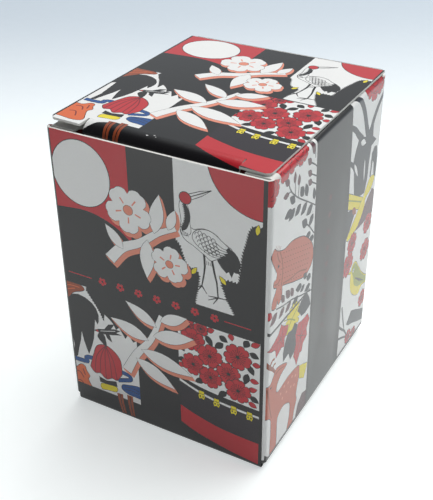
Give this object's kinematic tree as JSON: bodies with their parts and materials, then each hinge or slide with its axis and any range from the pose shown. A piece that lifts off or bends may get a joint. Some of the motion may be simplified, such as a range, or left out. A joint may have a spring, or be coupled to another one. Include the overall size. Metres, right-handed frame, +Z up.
{
  "type": "hanafuda card deck",
  "caption": "Tuck-top paperboard carton with a hinged lid, tuck flap and dust flaps, holding an upright deck of thick flower cards.",
  "frame": {"origin": "centre of the carton's footprint, on the surface it stands on", "axes": "+X to the carton's right, +Y to its back, +Z up; the front panel faces -Y"},
  "size_m": [0.0398, 0.0462, 0.0572],
  "materials": {
    "printed_board": "coated, printed in black, red and white",
    "plain_board": "uncoated",
    "glue": "dried adhesive",
    "card": "wrapped back paper, satin"
  },
  "bodies": {
    "carton": {"front_panel": "printed_board", "right_panel": "printed_board", "back_panel": "printed_board", "left_panel": "printed_board", "glue_flap": "plain_board", "seam_glue": "glue", "bottom_outer_flap": "printed_board", "bottom_inner_flap": "plain_board", "bottom_glue": "glue", "bottom_left_flap": "plain_board", "bottom_right_flap": "plain_board"},
    "lid": {"lid_panel": "printed_board"},
    "tuck": {"tuck_flap": "printed_board"},
    "left_dust": {"left_dust_flap": "plain_board"},
    "right_dust": {"right_dust_flap": "plain_board"},
    "deck": {"pine_cards": "card", "plum_cards": "card", "cherry_cards": "card", "wisteria_cards": "card", "iris_cards": "card", "peony_cards": "card", "clover_cards": "card", "pampas_cards": "card", "mum_cards": "card", "maple_cards": "card", "willow_cards": "card", "paulownia_cards": "card"}
  },
  "joints": [
    {"name": "lid_hinge", "type": "hinge", "parent": "carton", "child": "lid", "pos_m": [0, 0.02291, 0.0567], "axis": [-1, 0, 0], "range_deg": [-0.1, 185]},
    {"name": "tuck_crease", "type": "hinge", "parent": "lid", "child": "tuck", "pos_m": [0, -0.01941, 0.05696], "axis": [-1, 0, 0], "range_deg": [-1, 60]},
    {"name": "left_dust_crease", "type": "hinge", "parent": "carton", "child": "left_dust", "pos_m": [-0.01965, 0, 0.05545], "axis": [0, -1, 0], "range_deg": [-1, 105]},
    {"name": "right_dust_crease", "type": "hinge", "parent": "carton", "child": "right_dust", "pos_m": [0.01965, 0, 0.05545], "axis": [0, 1, 0], "range_deg": [-1, 105]},
    {"name": "deck_slide", "type": "slide", "parent": "carton", "child": "deck", "axis": [0, 0, 1], "range_m": [0, 0.0003]}
  ],
  "couplings": [
    {"joint": "tuck_crease", "follows": "lid_hinge", "ratio": 0.3},
    {"joint": "left_dust_crease", "follows": "lid_hinge", "ratio": 0.55},
    {"joint": "right_dust_crease", "follows": "lid_hinge", "ratio": 0.55}
  ]
}
